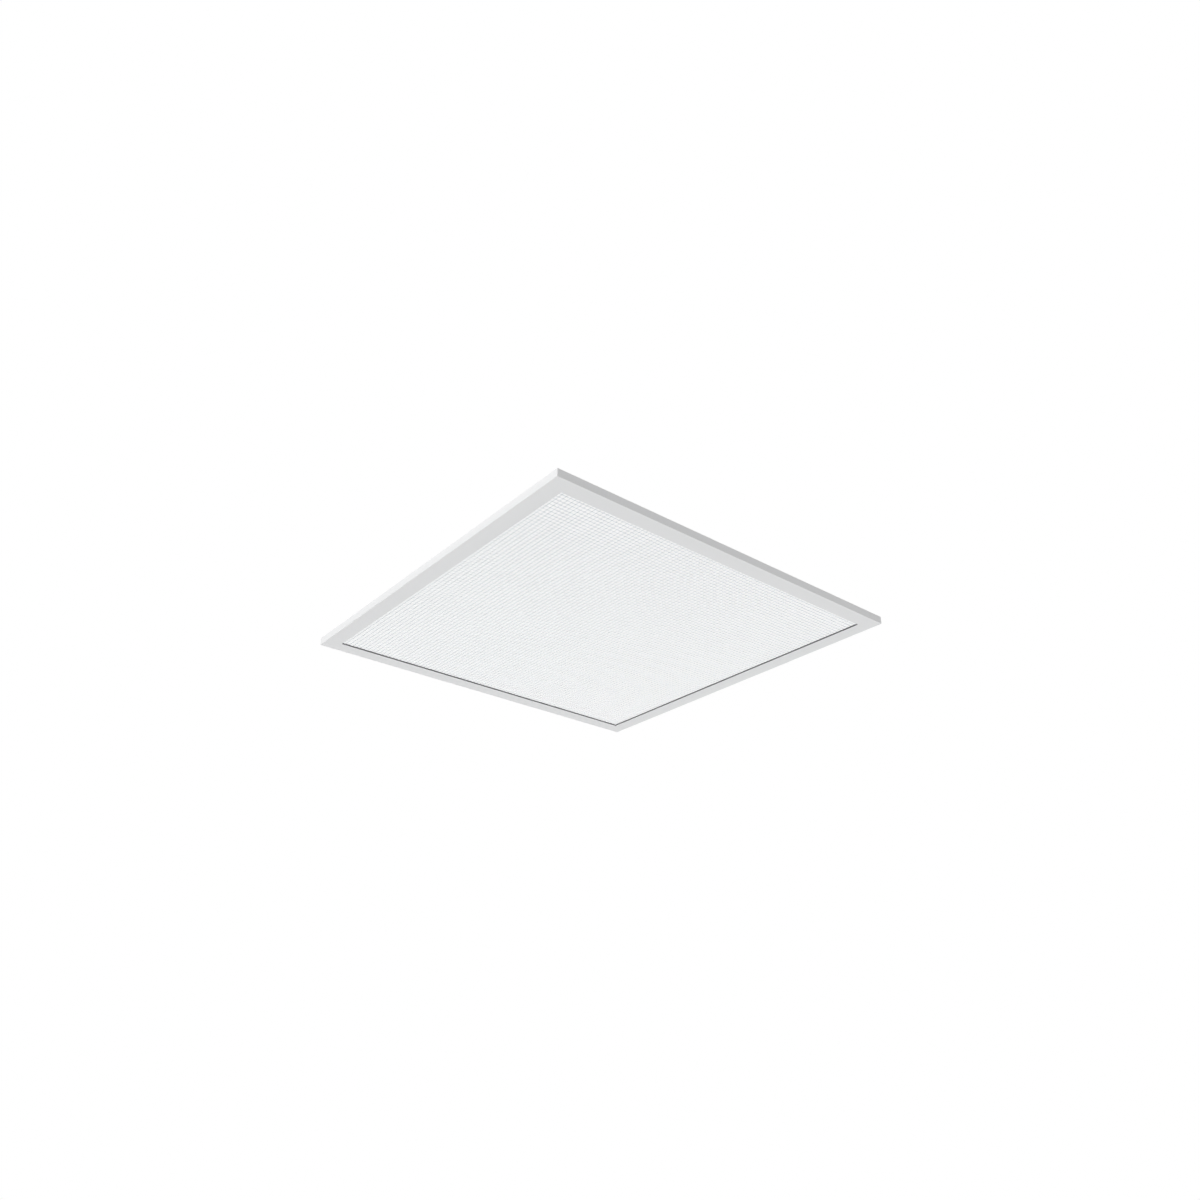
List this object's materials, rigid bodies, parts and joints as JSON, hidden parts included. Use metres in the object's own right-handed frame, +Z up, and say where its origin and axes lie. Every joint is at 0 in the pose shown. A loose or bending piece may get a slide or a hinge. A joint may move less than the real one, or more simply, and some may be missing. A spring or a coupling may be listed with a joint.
{
  "type": "recessed troffer light",
  "caption": "Square recessed ceiling light panel with a white mitred frame, a flush prismatic lens lit from its edges, and a driver box, hanger brackets and swing clips on its back.",
  "frame": {"origin": "centre of the rim's lower face, the face that lies on the ceiling grid", "axes": "+Z up into the ceiling void, away from the lit face; +Y towards the side of the panel where the driver box sits; +X to the right, the cable entry faces -X"},
  "size_m": [0.595, 0.595, 0.0425],
  "materials": {
    "white_frame": "satin white powder coat on aluminium",
    "white_plate": "white coated steel sheet",
    "prismatic_acrylic": "prismatic acrylic lens, lit white from inside",
    "diffuser_film": "matt white film",
    "clear_acrylic": "clear acrylic with printed dots",
    "white_reflector": "white reflective sheet",
    "foam": "pale closed-cell foam",
    "strip_aluminium": "satin aluminium",
    "led": "phosphor under silicone",
    "zinc_steel": "zinc-coated steel sheet with a faint spangle",
    "steel_fixings": "zinc-plated steel",
    "brass": "satin brass",
    "grey_rubber": "dark grey rubber",
    "key_zinc": "die-cast zinc",
    "terminal_grey": "grey moulded plastic",
    "lever_grey": "dark grey moulded plastic",
    "lever_green": "green moulded plastic",
    "driver_white": "white moulded plastic",
    "circuit_board": "green solder resist",
    "black_plastic": "black sleeve and bobbin"
  },
  "bodies": {
    "panel": {"back_plate": "white_plate", "box_screws": "steel_fixings", "bracket_rivets": "steel_fixings", "cable_grommet": "grey_rubber", "clip_rivets": "steel_fixings", "corner_key_back_left": "key_zinc", "corner_key_back_right": "key_zinc", "corner_key_front_left": "key_zinc", "corner_key_front_right": "key_zinc", "diffuser_film": "diffuser_film", "driver_base": "strip_aluminium", "driver_board": "circuit_board", "driver_box": "zinc_steel", "driver_capacitors": "black_plastic", "driver_cover": "driver_white", "driver_screws": "steel_fixings", "driver_transformer": "black_plastic", "earth_screw": "brass", "foam_pad": "foam", "frame_rail_back": "white_frame", "frame_rail_front": "white_frame", "frame_rail_left": "white_frame", "frame_rail_right": "white_frame", "hanger_bracket_back_left": "zinc_steel", "hanger_bracket_back_right": "zinc_steel", "hanger_bracket_front_left": "zinc_steel", "hanger_bracket_front_right": "zinc_steel", "lead_grommet": "grey_rubber", "led_packages_left": "led", "led_packages_right": "led", "led_strip_left": "strip_aluminium", "led_strip_right": "strip_aluminium", "lid_hinge_pins": "steel_fixings", "light_guide_plate": "clear_acrylic", "plate_screws": "steel_fixings", "prismatic_lens": "prismatic_acrylic", "reflector_sheet": "white_reflector", "terminal_block": "terminal_grey", "terminal_pin": "steel_fixings", "terminal_screws": "steel_fixings"},
    "box_lid": {"box_lid": "zinc_steel"},
    "grid_clip_back_left": {"grid_clip_back_left": "zinc_steel"},
    "grid_clip_back_right": {"grid_clip_back_right": "zinc_steel"},
    "grid_clip_front_left": {"grid_clip_front_left": "zinc_steel"},
    "grid_clip_front_right": {"grid_clip_front_right": "zinc_steel"},
    "terminal_lever_earth": {"terminal_lever_earth": "lever_green"},
    "terminal_lever_live": {"terminal_lever_live": "lever_grey"},
    "terminal_lever_neutral": {"terminal_lever_neutral": "lever_grey"}
  },
  "joints": [
    {"name": "grid_clip_front_left_swing", "type": "hinge", "parent": "panel", "child": "grid_clip_front_left", "pos_m": [-0.18, -0.2735, 0.0126], "axis": [0, 0, -1], "range_deg": [0, 90]},
    {"name": "grid_clip_front_right_swing", "type": "hinge", "parent": "panel", "child": "grid_clip_front_right", "pos_m": [0.18, -0.2735, 0.0126], "axis": [0, 0, -1], "range_deg": [0, 90]},
    {"name": "grid_clip_back_right_swing", "type": "hinge", "parent": "panel", "child": "grid_clip_back_right", "pos_m": [0.18, 0.2735, 0.0126], "axis": [0, 0, -1], "range_deg": [0, 90]},
    {"name": "grid_clip_back_left_swing", "type": "hinge", "parent": "panel", "child": "grid_clip_back_left", "pos_m": [-0.18, 0.2735, 0.0126], "axis": [0, 0, -1], "range_deg": [0, 90]},
    {"name": "box_lid_hinge", "type": "hinge", "parent": "panel", "child": "box_lid", "pos_m": [0, 0.1643, 0.0405], "axis": [-1, 0, 0], "range_deg": [0, 110]},
    {"name": "terminal_lever_live_lift", "type": "hinge", "parent": "panel", "child": "terminal_lever_live", "pos_m": [-0.0561, 0.1125, 0.0214], "axis": [0, 1, 0], "range_deg": [0, 80]},
    {"name": "terminal_lever_earth_lift", "type": "hinge", "parent": "panel", "child": "terminal_lever_earth", "pos_m": [-0.0561, 0.12, 0.0214], "axis": [0, 1, 0], "range_deg": [0, 80]},
    {"name": "terminal_lever_neutral_lift", "type": "hinge", "parent": "panel", "child": "terminal_lever_neutral", "pos_m": [-0.0561, 0.1275, 0.0214], "axis": [0, 1, 0], "range_deg": [0, 80]}
  ]
}
